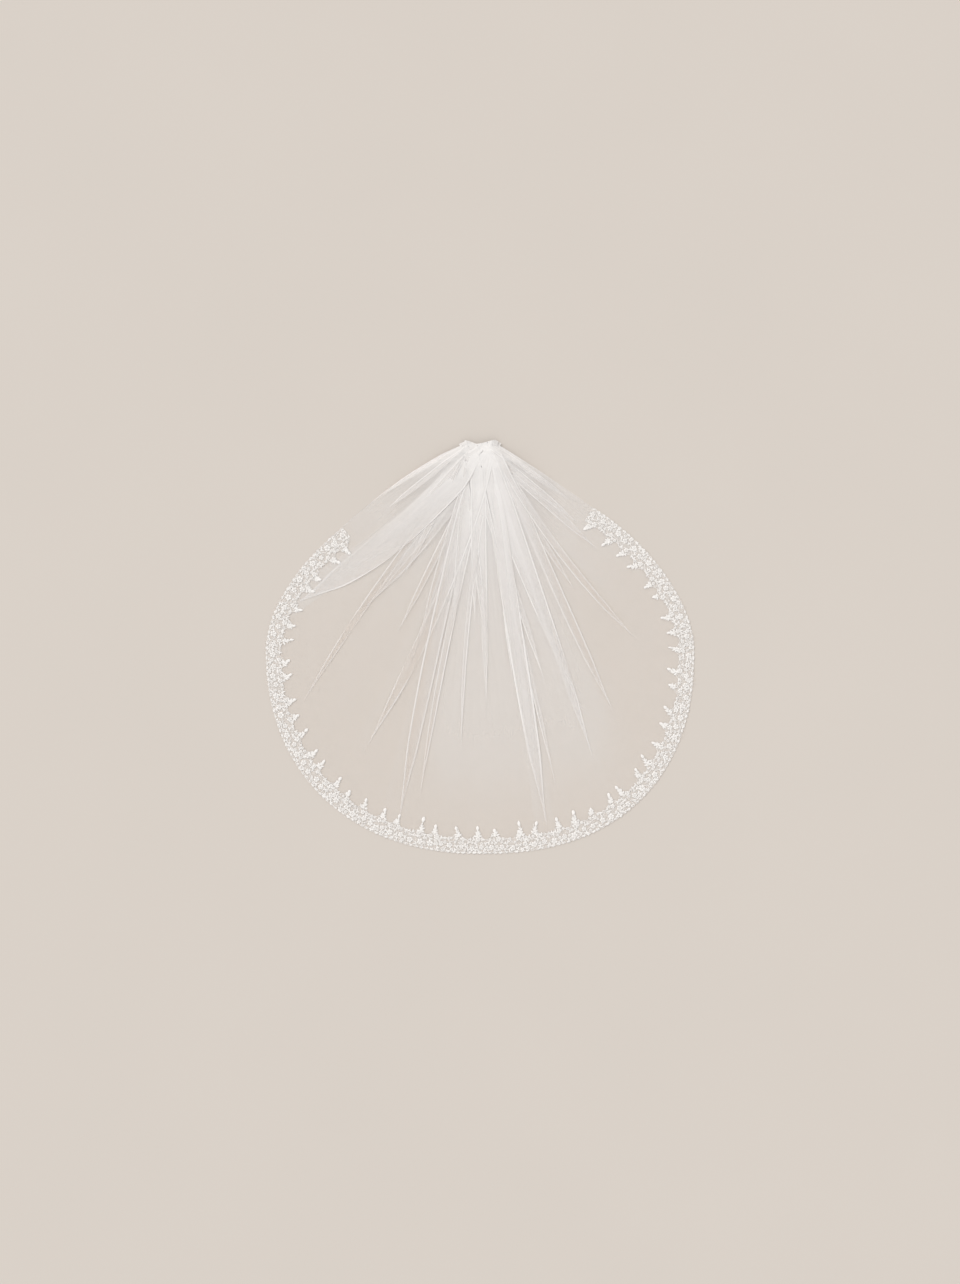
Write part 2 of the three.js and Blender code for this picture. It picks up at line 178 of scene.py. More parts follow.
def a_colour(name, description, default):
    """A property that is a colour."""
    return FloatVectorProperty(name=name, description=description, default=default, subtype="COLOR")


class VeilSizes(bpy.types.PropertyGroup):
    """The veil as it lies."""

    half_width: a_length("Half width", "Middle to either side at the widest place", 0.397)
    comb_to_waist: a_length("Comb to waist", "Gathered edge down to the widest place", 0.374)
    waist_to_hem: a_length("Waist to hem", "Widest place down to the lowest point", 0.381)
    left_shoulder: a_length("Left shoulder", "Height of the left upper curve", 0.325)
    right_shoulder: a_length("Right shoulder", "Height of the right upper curve", 0.333)
    gathered_width: a_length("Gathered width", "Net along the comb", 0.074)
    left_bulge: a_length("Left edge bulge", "How far the left raw edge bows out", 0.012)
    right_bulge: a_length("Right edge bulge", "How far the right raw edge bows out", 0.002)
    net_loft: a_length("Net loft", "Height of one layer above the table", 0.0007)
    net_colour: a_colour("Net colour", "Warm white of the net", (0.90, 0.873, 0.85))
    # Painted shade: one layer alone is given this darker, warmer colour, standing in for the shadow it casts
    # on the table and the light it loses
    net_single_ply_shade: a_colour("Single layer", "Colour of one layer alone", (0.86, 0.79, 0.73))
    net_cell: a_length("Net cell", "Width of one mesh of the net", 0.0018)


class LaceSizes(bpy.types.PropertyGroup):
    """The lace edging and its motifs."""

    band: a_length("Band", "Width of the border without its sprigs", 0.037)
    shortest_sprig: a_length("Shortest sprig", "Above the band", 0.008)
    tallest_sprig: a_length("Tallest sprig", "Above the band", 0.024)
    scallop: a_length("Scallop depth", "Of the waves along the edge", 0.002)
    height: a_length("Relief", "How high the leaves stand above the ground", 0.0008)
    colour: a_colour("Lace colour", "Warm white of the lace thread", (0.94, 0.905, 0.87))


class CombSizes(bpy.types.PropertyGroup):
    """The hair comb under the gathers."""

    teeth: IntProperty(name="Teeth", description="How many teeth the comb has", default=21, min=2)
    spine: a_length("Spine", "Height of the comb's bar", 0.007)
    tooth_root: a_length("Tooth root", "Width of a tooth at the bar", 0.002)
    tooth_tip: a_length("Tooth tip", "Width of a tooth at its end", 0.0011)
    colour: a_colour("Comb colour", "Pale moulded plastic", (0.78, 0.75, 0.71))


class StageSizes(bpy.types.PropertyGroup):
    """The floor, the light and the camera."""

    floor_colour: a_colour("Floor colour", "Plain warm stone", (0.62, 0.565, 0.512))
    sky: FloatProperty(name="Fill light", description="Strength of the even light", default=0.80)
    sun: FloatProperty(name="Key light", description="Strength of the soft light", default=1.53)
    camera_height: a_length("Camera height", "Above the table", 4.0)


# Shapes


def smooth(x):
    """0 below 0, 1 above 1, and between them three times x squared less twice x cubed."""
    x = np.clip(x, 0, 1)
    return x * x * (3 - 2 * x)


def together(*values):
    """Numbers and arrays side by side, along a new last axis."""
    return np.stack(np.broadcast_arrays(*values), axis=-1)


def unit(vectors):
    """The same directions at length 1."""
    return vectors / np.linalg.norm(vectors, axis=-1, keepdims=True)


def raised(place, height):
    """Places in the plane at that height."""
    return together(place[..., 0], place[..., 1], height)


class Layout:
    """The hem and the fan of pleats in the veil's own plane."""

    def __init__(self, sizes):
        self.sizes = sizes
        self.hem = self._outline(np.radians(np.linspace(*LACE_RUN, HEM_POINTS)))
        steps = np.linalg.norm(np.diff(self.hem, axis=0), axis=1)
        self.along = np.r_[0, np.cumsum(steps)]
        self.length = self.along[-1]
        tangent = unit(np.gradient(self.hem, self.along, axis=0))
        self.inward = together(-tangent[:, 1], tangent[:, 0])
        half = sizes.gathered_width / 2
        self.comb_places = np.r_[-half, PLEATS.at * MM, half]
        self.bows = np.r_[-sizes.left_bulge, PLEATS.bow * MM, sizes.right_bulge]
        self.hem_shares = np.r_[0, PLEATS.hem, 1]
        self.last = len(PLEATS.hem) + 1

    def _outline(self, angle):
        """A rounded oval about the widest place: each side is its half size times the cosine or sine to the
        power 2 over the roundness there."""
        s = self.sizes
        c, d = np.cos(angle), np.sin(angle)
        below = np.where(c < 0, ROUNDNESS["left_below"], ROUNDNESS["right_below"])
        power = np.where(d >= 0, ROUNDNESS["above"], below)
        height = np.where(d >= 0, np.where(c < 0, s.left_shoulder, s.right_shoulder), s.waist_to_hem)
        x = s.half_width * np.sign(c) * np.abs(c) ** (2 / power)
        y = height * np.sign(d) * np.abs(d) ** (2 / power) - s.comb_to_waist
        return together(x, y)

    def at(self, along, inward):
        """The point so far along the hem and so far in from it, square to the hem."""
        lines = zip(self.hem.T, self.inward.T)
        sides = [[np.interp(along, self.along, part) for part in line] for line in lines]
        return together(*[hem + inward * square for hem, square in sides])

    def to_hem(self, place):
        """Distance of each place to the nearest of points along the hem."""
        nearest = np.full(place.shape[:-1], np.inf)
        for point in self.hem[::HEM_STRIDE]:
            apart = np.hypot(place[..., 0] - point[0], place[..., 1] - point[1])
            nearest = np.minimum(nearest, apart)
        return nearest

    def fan(self, tau, v):
        """The line from the comb to the hem for each tau, which counts pleats, taken at its share v. It bows
        aside by its own amount times 4 v (1 - v). Returns the places, how far down they are, and which way
        is aside."""
        counts = np.arange(self.last + 1)
        top = together(np.interp(tau, counts, self.comb_places), 0.0)
        foot = self.at(np.interp(tau, counts, self.hem_shares) * self.length, NET_INSET)
        line = foot - top
        length = np.linalg.norm(line, axis=-1)
        aside = together(-line[..., 1], line[..., 0]) / length[..., None]
        bow = np.interp(tau, counts, self.bows) * 4 * v * (1 - v)
        return top + line * v[..., None] + aside * bow[..., None], length * v, aside


def rods(starts, ends, radii, sides=10, steps=7):
    """Round rods from starts to ends that taper by radii, an array of rods by 2, and close at both ends."""
    t = np.array([0, 0, 0.02, *np.linspace(0.05, 0.97, steps), 0.99, 1, 1])
    swell = np.array([0, 0.6, 0.9, *np.ones(steps), 0.9, 0.6, 0])
    around = np.linspace(0, 2 * np.pi, sides + 1)[:, None]
    axis = unit(ends - starts)
    up = np.where(np.abs(axis[:, 2:]) > 0.9, [1.0, 0, 0], [0, 0, 1.0])
    side = unit(np.cross(axis, up))
    up = np.cross(side, axis)
    radius = (radii[:, :1] * (1 - t) + radii[:, 1:] * t) * np.maximum(swell, 0.02)
    middle = starts[:, None] + (ends - starts)[:, None] * t[:, None]
    ring = side[:, None] * np.cos(around) + up[:, None] * np.sin(around)
    return middle[:, :, None] + radius[:, :, None, None] * ring[:, None]


def grid_mesh(name, points):
    """A mesh from points, an array of grids by rows by columns by 3. Its faces point up where rows run along
    X and columns along Y."""
    grids, rows, columns = points.shape[:3]
    corner = np.arange(rows * columns).reshape(rows, columns)
    quads = together(corner[:-1, :-1], corner[1:, :-1], corner[1:, 1:], corner[:-1, 1:])
    firsts = np.arange(grids) * rows * columns
    faces = (quads.reshape(-1, 4) + firsts[:, None, None]).reshape(-1, 4)
    mesh = bpy.data.meshes.new(name)
    mesh.from_pydata(points.reshape(-1, 3) + ORIGIN, [], faces)
    mesh.polygons.foreach_set("use_smooth", np.ones(len(faces), bool))
    mesh.update()
    return mesh


def add_attribute(mesh, name, values):
    """Keeps a number for each point."""
    attribute = mesh.attributes.new(name, "FLOAT", "POINT")
    attribute.data.foreach_set("value", np.ascontiguousarray(values, np.float32).ravel())


def add_map(mesh, name, uv):
    """Keeps a flat pattern place, in metres, for each point."""
    corners = np.zeros(len(mesh.loops), np.int32)
    mesh.loops.foreach_get("vertex_index", corners)
    layer = mesh.uv_layers.new(name=name)
    layer.data.foreach_set("uv", np.ascontiguousarray(uv.reshape(-1, 2)[corners], np.float32).ravel())


def add_object(name, data):
    """Puts a mesh, a lamp or a camera in the scene."""
    made = bpy.data.objects.new(name, data)
    bpy.context.scene.collection.objects.link(made)
    return made


def show(name, mesh, material, replaces=()):
    """Makes a finished mesh a piece of the veil."""
    piece = add_object(name, mesh)
    mesh.materials.append(material)
    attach(piece, "root")
    if replaces:
        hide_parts(*replaces)
    return piece


# Materials


class Wire:
    """A value in a material, so that its maths reads as Python."""

    def __init__(self, finish, socket):
        self.finish = finish
        self.socket = socket

    def maths(self, operation, *values):
        return self.finish.node("ShaderNodeMath", {"operation": operation}, dict(enumerate(values)))

    def __add__(self, other):
        return self.maths("ADD", self, other)

    def __sub__(self, other):
        return self.maths("SUBTRACT", self, other)

    def __rsub__(self, other):
        return self.maths("SUBTRACT", other, self)

    def __mul__(self, other):
        return self.maths("MULTIPLY", self, other)

    def __rpow__(self, other):
        return self.maths("POWER", other, self)

    __radd__ = __add__
    __rmul__ = __mul__

    def cosine(self):
        return self.maths("COSINE", self)

    def ridges(self, pitch):
        """A cosine that comes round once in each pitch."""
        return (self * (2 * np.pi / pitch)).cosine()

    def clamp(self):
        return self.maths("MINIMUM", self.maths("MAXIMUM", self, 0.0), 1.0)


class Finish:
    """A material with one principled shader."""

    def __init__(self, name, colour, roughness, **constants):
        self.material = bpy.data.materials.new(name)
        self.material.use_nodes = True
        self.tree = self.material.node_tree
        self.shader = self.tree.nodes["Principled BSDF"]
        self.colour = colour
        self.shader.inputs["Base Color"].default_value = (*colour, 1)
        self.shader.inputs["Roughness"].default_value = roughness
        for socket, value in constants.items():
            self.shader.inputs[socket.replace("_", " ")].default_value = value

    def node(self, kind, settings=None, sockets=None, output=0):
        """Any node, from its settings and its sockets' values or links, by name or number."""
        made = self.tree.nodes.new(kind)
        for key, value in (settings or {}).items():
            setattr(made, key, value)
        for key, value in (sockets or {}).items():
            self.feed(made.inputs[key], value)
        return Wire(self, made.outputs[output])

    def feed(self, socket, value):
        if isinstance(value, Wire):
            self.tree.links.new(value.socket, socket)
        else:
            socket.default_value = value

    def attribute(self, name):
        return self.node("ShaderNodeAttribute", {"attribute_name": name}, output="Fac")

    def place(self):
        """The place on the object, in metres."""
        return self.node("ShaderNodeTexCoord", output="Object")

    def split(self, vector):
        """The X and Y of a vector."""
        parts = self.node("ShaderNodeSeparateXYZ", None, {0: vector}).socket.node
        return Wire(self, parts.outputs["X"]), Wire(self, parts.outputs["Y"])

    def join(self, x, y):
        return self.node("ShaderNodeCombineXYZ", None, {"X": x, "Y": y})

    def noise(self, vector, scale, detail=2.0):
        return self.node("ShaderNodeTexNoise", None, {"Vector": vector, "Scale": scale, "Detail": detail})

    def tint(self, dark, factor):
        """Base colour between dark, a colour or a share of the finish's own, and that colour."""
        if isinstance(dark, float):
            dark = tuple(dark * c for c in self.colour)
        mix = self.tree.nodes.new("ShaderNodeMix")
        mix.data_type = "RGBA"
        self.feed(mix.inputs["Factor"], factor)
        mix.inputs["A"].default_value = (*dark, 1)
        mix.inputs["B"].default_value = (*self.colour, 1)
        self.tree.links.new(mix.outputs["Result"], self.shader.inputs["Base Color"])

    def sheer(self, alpha, passing):
        """Lets everything through but alpha, and a share of the light through what covers."""
        own = Wire(self, self.shader.outputs["BSDF"])
        glow = self.node("ShaderNodeBsdfTranslucent", None, {"Color": (*self.colour, 1)})
        body = self.node("ShaderNodeMixShader", None, {0: passing, 1: own, 2: glow})
        clear = self.node("ShaderNodeBsdfTransparent")
        mixed = self.node("ShaderNodeMixShader", None, {0: alpha, 1: clear, 2: body})
        self.feed(self.tree.nodes["Material Output"].inputs["Surface"], mixed)

    def bump(self, height, distance, strength=1.0):
        sockets = {"Strength": strength, "Distance": distance, "Height": height}
        self.feed(self.shader.inputs["Normal"], self.node("ShaderNodeBump", None, sockets))


def hexagons(finish, place, cell):
    """1 on the threads of a six-sided net and 0 in its holes: three waves 60 degrees apart add up to peaks
    in the holes and a honeycomb of low values, the threads."""
    x, y = finish.split(place)
    wave = 4 * np.pi / (np.sqrt(3) * cell)
    slant = wave * np.sqrt(3) / 2
    total = (x * wave).cosine()
    for side in (slant, -slant):
        total = total + (x * (-wave / 2) + y * side).cosine()
    return ((THREAD_LEVEL - total) * THREAD_EDGE + 0.5).clamp()


def in_streaks(finish, layers, strength):
    """Layers in streaks down the cloth, most uneven at the comb and less over its first half metre."""
    fine_across, fine_down, fades_by, least = 9.0, 2.2, 2.0, 0.12
    down = finish.attribute("down")
    along = finish.join(finish.attribute("across") * fine_across, down * fine_down)
    fade = (1.0 - down * fades_by).clamp() * strength + least
    return layers * (finish.noise(along, 1.0) * (fade * 2.0) + (1.0 - fade))


def net_finish(name, colour, single_ply_shade, cell, hole_cover=0.03, thread_cover=0.62, streaks=0.22):
    """Net whose threads cover much and whose holes cover little. Each layer under the first lets through
    what the two let through on average. Its colour is painted shade and light: one layer alone takes a
    darker, warmer colour that stands in for its shadow on the table, and the colour brightens to the full
    net colour as layers, folds and gathers stack up, standing in for light scattered among the plies. Some
    light passes through the threads."""
    finish = Finish(name, colour, 0.7, Sheen_Weight=0.15)
    threads = hexagons(finish, finish.node("ShaderNodeUVMap", {"uv_map": "net"}), cell)
    cover = threads * (thread_cover - hole_cover) + hole_cover
    layers = finish.attribute("layers")
    if streaks:
        layers = in_streaks(finish, layers, streaks)
    average = THREAD_SHARE * thread_cover + (1 - THREAD_SHARE) * hole_cover
    alpha = 1.0 - (1.0 - cover) * (1 - average) ** (layers - 1.0)
    # Painted shade and light: the darker single-ply colour where one layer lies, the full net colour where
    # layers, folds and gathers stack
    finish.tint(tuple(single_ply_shade), ((layers - 1.0) * 1.2).clamp())
    finish.sheer(alpha.clamp(), 0.18)
    finish.bump(threads, 0.08 * MM, 0.6)
    return finish.material


def lace_finish(name, colour):
    """Satin-stitched thread: fine ridges slant from each leaf's middle, and painted shade makes the hollows
    between them a little darker, with random cloudy tone.
    """
    finish = Finish(name, colour, 0.62, Sheen_Weight=0.25)
    x, y = finish.split(finish.node("ShaderNodeUVMap", {"uv_map": "stitch"}))
    ridges = (x + y.maths("ABSOLUTE", y) * 0.8).ridges(0.42 * MM)
    cloudy = finish.noise(finish.place(), 260.0, 3.0)
    finish.bump(ridges * 0.6 + cloudy * 0.8, 0.12 * MM, 0.7)
    # Painted shade: the hollows between the stitch ridges are darkened, plus random cloudy tone
    finish.tint(0.9, (ridges * 0.22 + cloudy * 0.9 + 0.2).clamp())
    return finish.material


def thread_finish(name, colour):
    """Twisted sewing thread, with painted shade darkening the grooves of its twist."""
    finish = Finish(name, colour, 0.6, Sheen_Weight=0.2)
    x, y = finish.split(finish.place())
    twist = (x + y).ridges(0.5 * MM)
    finish.bump(twist, 0.05 * MM, 0.6)
    # Painted shade in the grooves between the twists
    finish.tint(0.88, twist * 0.3 + 0.7)
    return finish.material


def comb_finish(name, colour):
    """Pale moulded plastic with faint flow clouds and fine scuffs in its gloss."""
    finish = Finish(name, colour, 0.3, Coat_Weight=0.2)
    place = finish.place()
    clouds = finish.noise(place, 60.0, 3.0)
    scuffs = finish.noise(place, 900.0, 2.0)
    finish.feed(finish.shader.inputs["Roughness"], clouds * 0.12 + scuffs * 0.12 + 0.2)
    finish.tint(0.93, clouds)
    finish.bump(scuffs, 0.03 * MM, 0.4)
    return finish.material


def floor_finish(name, colour):
    """A plain warm surface, very slightly clouded."""
    finish = Finish(name, colour, 0.9, Specular_IOR_Level=0.1)
    finish.tint(0.965, finish.noise(finish.place(), 2.5, 5.0))
    return finish.material


# The net


def stations(outer=5, inner=3):
    """The columns of a pleat that leans right, from left to right, with the values of TOP_FOLD: over to the
    top fold, back in the middle ply, and on from the lower fold. t and u run from 0 to 1 over a ply."""
    t, u = np.linspace(0, 1, outer), np.linspace(0, 1, inner)
    over = together(-0.5 * (1 - t), t, -2 * t, 0, 0.9 + 1.1 * smooth(t / 0.75), INSIDE * smooth(2 * t - 1))
    back = together(0, 1 - 2 * u, 0, -2 * (1 - 2 * u), 1.1 - 0.2 * u, INSIDE)
    on = together(0.5 * t, t - 1, 2 * (1 - t), 0, 0.9 * smooth(t / 0.75 - 0.33), INSIDE * smooth(1 - 2 * t))
    return np.concatenate((over, TOP_FOLD, back, LOWER_FOLD, on))


def pleat_columns():
    """Every pleat's columns: its number and its stations, turned round where it leans left."""
    right = stations()
    left = right[::-1] * np.array([-1, -1, -1, -1, 1, 1])
    parts = [(right if lean > 0 else left)[:-1] for lean in PLEATS.lean]
    numbers = np.repeat(np.arange(len(parts)), [len(part) for part in parts])
    return numbers, np.concatenate(parts).T


def fades(share, start):
    """1 down to that share of each pleat's reach, and softly to 0 at its reach."""
    return 1 - smooth((share - start * PLEATS.reach) / ((1 - start) * PLEATS.reach))


def half_overlaps(layout, v):
    """Half the overlap of each pleat, the fade of its height and its room. The overlap is the table's width,
    narrower in the gathers, until it fades. Past its reach it is below 0: the cloth has opened out."""
    lines = np.broadcast_arrays(np.arange(layout.last + 1.0)[None], v[:, None])
    points, _, aside = layout.fan(*lines)
    gaps = np.abs((np.diff(points, axis=1) * aside[:, 1:]).sum(axis=-1))
    spacing = np.minimum(gaps[:, :-1], gaps[:, 1:])
    share = v[:, None]
    fade = fades(share, 0.55)
    half = PLEATS.width / 2 * MM * smooth(share / 0.25 + 0.3) * fades(share, 0.76) * (0.55 + 0.45 * fade)
    opened = 0.12 * spacing * smooth((share - PLEATS.reach) / 0.08)
    return half - opened, fade, spacing


def edged(pleated, left, last, right):
    """The pleats' columns between those of the left raw edge and, after one more, those of the right one."""
    sides = [np.broadcast_to(values, (len(pleated), np.size(values))) for values in (left, last, right)]
    return np.concatenate((sides[0], pleated, *sides[1:]), axis=1)


def folded_cloth(layout, v):
    """The sheet's columns in each row. tau: place among the pleats. aside: shift across its line. level:
    which ply. crease: how sharp the fold is. full: how much more cloth a wide pleat holds. lift: its pleat's
    height."""
    half, fade, spacing = half_overlaps(layout, v)
    number, (room, per_half, per_out, per_in, level, crease) = pleat_columns()
    half, fade, spacing, width = half[:, number], fade[:, number], spacing[:, number], PLEATS.width[number]
    run = np.minimum((0.9 + width / 28) * MM, 0.15 * spacing)
    aside = per_half * half + per_out * run + per_in * np.clip(0.2 * half, -run, run)
    lapped = smooth((half + 0.4 * MM) / (1.6 * MM))
    crease = crease * smooth(half / (3 * MM)) * (0.35 + 0.65 * fade)
    tau = np.broadcast_to(number + 1 + room, half.shape)
    calm = np.zeros(len(EDGE_STEPS))
    return SimpleNamespace(
        tau=edged(tau, EDGE_STEPS, layout.last - 0.5, layout.last - EDGE_STEPS[::-1]),
        aside=edged(aside, calm, 0, calm),
        level=edged(0.5 + (level - 0.5) * lapped, calm + 0.5, 0.5, calm + 0.5),
        crease=edged(crease, EDGE_CREASE, 0, EDGE_CREASE[::-1]),
        full=edged(np.maximum(width - 14, 0) / 60 * lapped, calm, 0, calm),
        lift=edged(PLEATS.lift[number] * MM * fade, calm, 0, calm),
    )


def net_height(layout, cloth, place, far, share):
    """How high the cloth lies: its loft, the comb, the heap of gathers, lower at the raw edges, its pleat's
    height times its level, fine gathers, a drift beyond them and a step from ply to ply. The gathers are
    sines of the place in the fan, and the drift is one plus a product of two. The heap, the pleats and the
    drift go down to nothing where the lace is."""
    tau, level = cloth.tau, cloth.level
    to_raw = [np.linalg.norm(place - edge, axis=-1) for edge in (place[:, :1], place[:, -1:])]
    sides = 0.25 + 0.75 * smooth(np.minimum(*to_raw) / (16 * MM))
    clear = smooth((layout.to_hem(place) - SPRIG_REACH) / RISES_OVER)
    heap = np.interp(far / MM, HEAP.far, HEAP.height) * MM * sides * clear
    on_comb = np.clip((POCKET_ENDS - far) / (POCKET_ENDS - POCKET_FULL), 0, 1)
    stands = RELIEF * cloth.lift * smooth(share / 0.2 + 0.2) * level / 2 * clear
    near = np.clip(1 - far / GATHERS_END, 0, 1)
    fan = place[..., 0] / (place[..., 1] - 60 * MM)
    gathers = GATHER_HEIGHT * near * (np.sin(60 * fan + 3 * np.sin(21 * fan)) + np.sin(7.1 * tau) / 3)
    sway = np.sin(1.9 * tau + 9 * share) * np.sin(0.8 * tau - 5 * share)
    drift = DRIFT_HEIGHT * clear * (1 - near) * (1 + sway)
    steps = PLY * level + PLY_SHIFT * np.abs(tau % 4 - 2)
    raised = layout.sizes.net_loft + (COMB_THICKNESS + COMB_CLEARANCE) * on_comb
    return raised + heap * (0.96 + 0.015 * level) + stands + gathers + drift + steps


def ruffle(layout, cloth, seam):
    """The cloth above the seam: each column goes up as far as HEADING says, spreads, waves and drops behind
    the comb. rise runs from 1 at the top to nearly 0 at the seam. Returns the points and how far above the
    seam they are."""
    rise = np.linspace(1, 0, RUFFLE_ROWS, endpoint=False)[:, None]
    at = seam[:, 0] / layout.sizes.gathered_width * 2
    shows = np.interp(at, HEADING.at, HEADING.shows) * MM
    frill = np.sin(2 * np.pi * 0.9 * cloth.tau[0] + 2.2 * cloth.level[0])
    x = seam[:, 0] * (1 + 0.06 * rise) + 0.5 * MM * frill * rise
    y = rise * (shows + 0.9 * MM * np.sin(2.1 * cloth.tau[0]))
    z = seam[:, 2] + rise * (-3 * MM + 1.6 * MM * np.cos(at * 9) + 1.5 * MM * frill)
    return together(x, y, np.maximum(z, 3.2 * MM)), shows * rise


def headed(values, share=1.0):
    """The rows, below that share of the seam's row for each row of the ruffle."""
    return np.concatenate((np.broadcast_to(values[0] * share, (RUFFLE_ROWS, values.shape[1])), values))


def layers_at(points, cloth, down):
    """How many layers of net each point stands for: the gathers at that distance, fewer inside a pleat, more
    at folds and in wide pleats, and more in a wedge down the middle of the fan that fades to the hem."""
    crease = headed(cloth.crease, 0.5)
    layers = np.interp(down / MM, HEAP.far, HEAP.gathers)
    layers = layers * (1 + np.minimum(crease, 0)) + FOLD_LAYERS * np.maximum(crease, 0)
    slant = points[..., 0] / (40 * MM - points[..., 1])
    middle = smooth((slant + 0.24) / 0.16) * smooth((0.52 - slant) / 0.2)
    fade = smooth((760 * MM - down) / (300 * MM))
    return layers * (1 + headed(cloth.full)) * (1 + WEDGE_LAYERS * middle * fade)


def net_surface(layout):
    """The whole net as one sheet on a grid. Across, each pleat's cloth runs over its neighbour, back under
    itself and on. Down, the rows run from the ruffle above the comb to the hem. Returns points, layers,
    distances down, places among the pleats and levels."""
    v = np.linspace(0, 1, ROWS) ** ROW_POWER
    cloth = folded_cloth(layout, v)
    share = np.broadcast_to(v[:, None], cloth.tau.shape)
    place, far, across_line = layout.fan(cloth.tau, share)
    place = place + across_line * cloth.aside[..., None]
    z = net_height(layout, cloth, place, far, share)
    body = raised(place, z)
    top, above = ruffle(layout, cloth, body[0])
    points = np.concatenate((top, body))
    down = np.concatenate((-above, far))
    return points, layers_at(points, cloth, down), down, headed(cloth.tau), headed(cloth.level)


def seam_stitches(points, stitches=17):
    """The gathering thread along the seam: short slanting stitches, half sunk into the highest cloth there.
    Returns starts, ends and end radii."""
    seam = points[RUFFLE_ROWS]
    count = np.arange(stitches)
    x = np.linspace(-33, 33, stitches) * MM
    near = np.abs(seam[:, 0] - x[:, None]) < 2.5 * MM
    z = np.where(near, seam[:, 2], 0).max(axis=1) + 0.1 * MM
    slant = np.array([1.2, 0.7, 0.0]) * MM * (1 + 0.25 * np.sin(2.7 * count))[:, None]
    middle = together(x, -0.6 * MM + 0.3 * MM * np.sin(4.1 * count), z)
    return middle - slant, middle + slant, np.full((stitches, 2), 0.24 * MM)


class VEIL_OT_net(bpy.types.Operator):
    """Lay out the pleated net and the stitches that gather it"""

    bl_idname = "veil.net"
    bl_label = "Net"

    def execute(self, context):
        sizes = context.scene.veil_sizes
        points, layers, down, across, level = net_surface(Layout(sizes))
        mesh = grid_mesh("veil_net", points[None])
        add_attribute(mesh, "layers", layers)
        add_attribute(mesh, "down", down)
        add_attribute(mesh, "across", across)
        shift = sizes.net_cell * level[..., None] * np.array([0.37, 0.21])
        add_map(mesh, "net", points[..., :2] + shift)
        material = net_finish("warm white net", sizes.net_colour, sizes.net_single_ply_shade, sizes.net_cell)
        net = show("veil_net", mesh, material, ["tulle"])
        sewn = grid_mesh("seam_stitches", rods(*seam_stitches(points), sides=8))
        stitches = show("seam_stitches", sewn, thread_finish("sewing thread", sizes.net_colour))
        return {"FINISHED"}


# The lace


def scallop(along, layout, depth):
    """How far in the lace's edge is from the hem line: small round waves, four a repeat."""
    wave = np.abs(np.sin(np.pi * along / layout.length * REPEATS * SCALLOPS))
    return depth * (1 - wave**0.7)


def sprig_heights(sizes):
    """Each sprig's height above the band: a slow and a quick wave, and lower up the sides."""
    repeat = np.arange(REPEATS)
    wave = 0.5 + 0.3 * np.sin(repeat * 2.4) + 0.2 * np.sin(repeat * 5.3 + 1)
    share = 0.42 + 0.58 * np.exp(-(((repeat + 0.5) / REPEATS - 0.5) / 0.2) ** 2)
    return sizes.shortest_sprig + (sizes.tallest_sprig - sizes.shortest_sprig) * np.clip(wave, 0, 1) * share


def repeats_of(layout):
    """The middle of each repeat along the hem, and the length of one."""
    pitch = layout.length / REPEATS
    return (np.arange(REPEATS) + 0.5) * pitch, pitch


def sprig_places(layout):
    """Each sprig's place along the hem: aside from its repeat's middle by an uneven wave."""
    middle, _ = repeats_of(layout)
    return middle + SPRIG_SHIFT * np.sin(np.arange(REPEATS) * 3.7 + 0.5)


def vine(layout, along, row):
    """How far in each of the two vines runs: a wave to each repeat, and a smaller, quicker one."""
    turns = 2 * np.pi * along / layout.length * REPEATS
    return (11.5 + 13 * row + 3.6 * np.sin(turns + row * 2.6) + 1.2 * np.sin(2.3 * turns)) * MM


def inner_edge(layout, sizes, along):
    """How far in the band's inner side lies: furthest at each sprig's foot, and less between them."""
    apart = np.abs(np.asarray(along)[..., None] - sprig_places(layout)).min(axis=-1)
    return sizes.band - 1 * MM - 7 * MM * smooth((apart - 4 * MM) / (11 * MM))


def leaves(layout, leaf, base=LACE_BASE, steps=(6, 5), round_end=0.75, groove=0.4):
    """Many leaves as grids. One leaf runs a from 0 at its stem to 1 at its tip and b from -1 to 1 across.
    Its half width is the sine of pi a to the power round_end, and its height falls to 0 at its rim and is
    grooved along its middle rib. leaf is from leaf_rows."""
    a, b = np.meshgrid(np.linspace(0, 1, steps[0]), np.linspace(-1, 1, steps[1]), indexing="ij")
    breadth = np.maximum(np.sin(np.pi * a**round_end) ** 0.8, 0.06)
    rise = (1 - b**4) * (1 - groove * np.exp(-((b / 0.3) ** 2))) * np.maximum(np.sin(np.pi * a), 0) ** 0.4
    along, across, length, width, turn, lift, bend = leaf[..., None, None]
    x = a * length
    y = b * breadth * width / 2 + bend * length * (a - a * a)
    c, s = np.cos(turn), np.sin(turn)
    place = layout.at(along + x * c - y * s, across + x * s + y * c)
    return raised(place, base + lift * rise), together(x, b * breadth * width / 2)


def cords(layout, along, across, radius, sides=5):
    """Round cords on the ground: half circles of that radius, carried square to lines given by arrays of
    cords by steps."""
    step_x, step_y = np.gradient(along, axis=1), np.gradient(across, axis=1)
    size = np.maximum(np.hypot(step_x, step_y), 1e-9)
    around = np.linspace(0, np.pi, sides)
    offset = -radius * np.cos(around)
    x = along[..., None] - (step_y / size)[..., None] * offset
    y = across[..., None] + (step_x / size)[..., None] * offset
    run = np.cumsum(size, axis=1)[..., None]
    return raised(layout.at(x, y), LACE_BASE + radius * np.sin(around)), together(run, offset)


